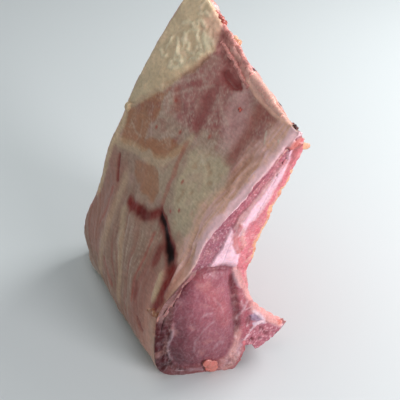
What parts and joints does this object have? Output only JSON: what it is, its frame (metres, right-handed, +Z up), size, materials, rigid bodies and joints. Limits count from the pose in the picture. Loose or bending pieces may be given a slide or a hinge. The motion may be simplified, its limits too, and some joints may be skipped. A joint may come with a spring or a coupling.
{
  "type": "raw rack of lamb",
  "caption": "Raw, untrimmed rack of lamb standing on its backbone edge: fat cap, eye muscle, layered flap, split backbone and sawn ribs.",
  "frame": {"origin": "on the floor, in the middle of the flat strip of fat that the rack rests on", "axes": "+Z up, +X from the fat side to the rib-cage side, +Y along the backbone from the loin cut to the shoulder cut"},
  "size_m": [0.0986, 0.1411, 0.188],
  "materials": {
    "fat": "dry cream fat with muscle showing through",
    "muscle": "moist raw lamb",
    "dark_muscle": "moist dark red muscle",
    "seam_fat": "wet white-pink fat",
    "bone": "raw bone with red marrow"
  },
  "bodies": {
    "root": {"fat_cap": "fat", "back_muscle": "dark_muscle", "eye_muscle": "muscle", "cap_muscle": "muscle", "fat_seam": "seam_fat", "rib_meat": "muscle", "rib_1": "bone", "rib_2": "bone", "rib_3": "bone", "rib_4": "bone", "rib_5": "bone", "vertebra_1": "bone", "vertebra_2": "bone", "vertebra_3": "bone", "vertebra_4": "bone", "vertebra_5": "bone"}
  },
  "joints": []
}
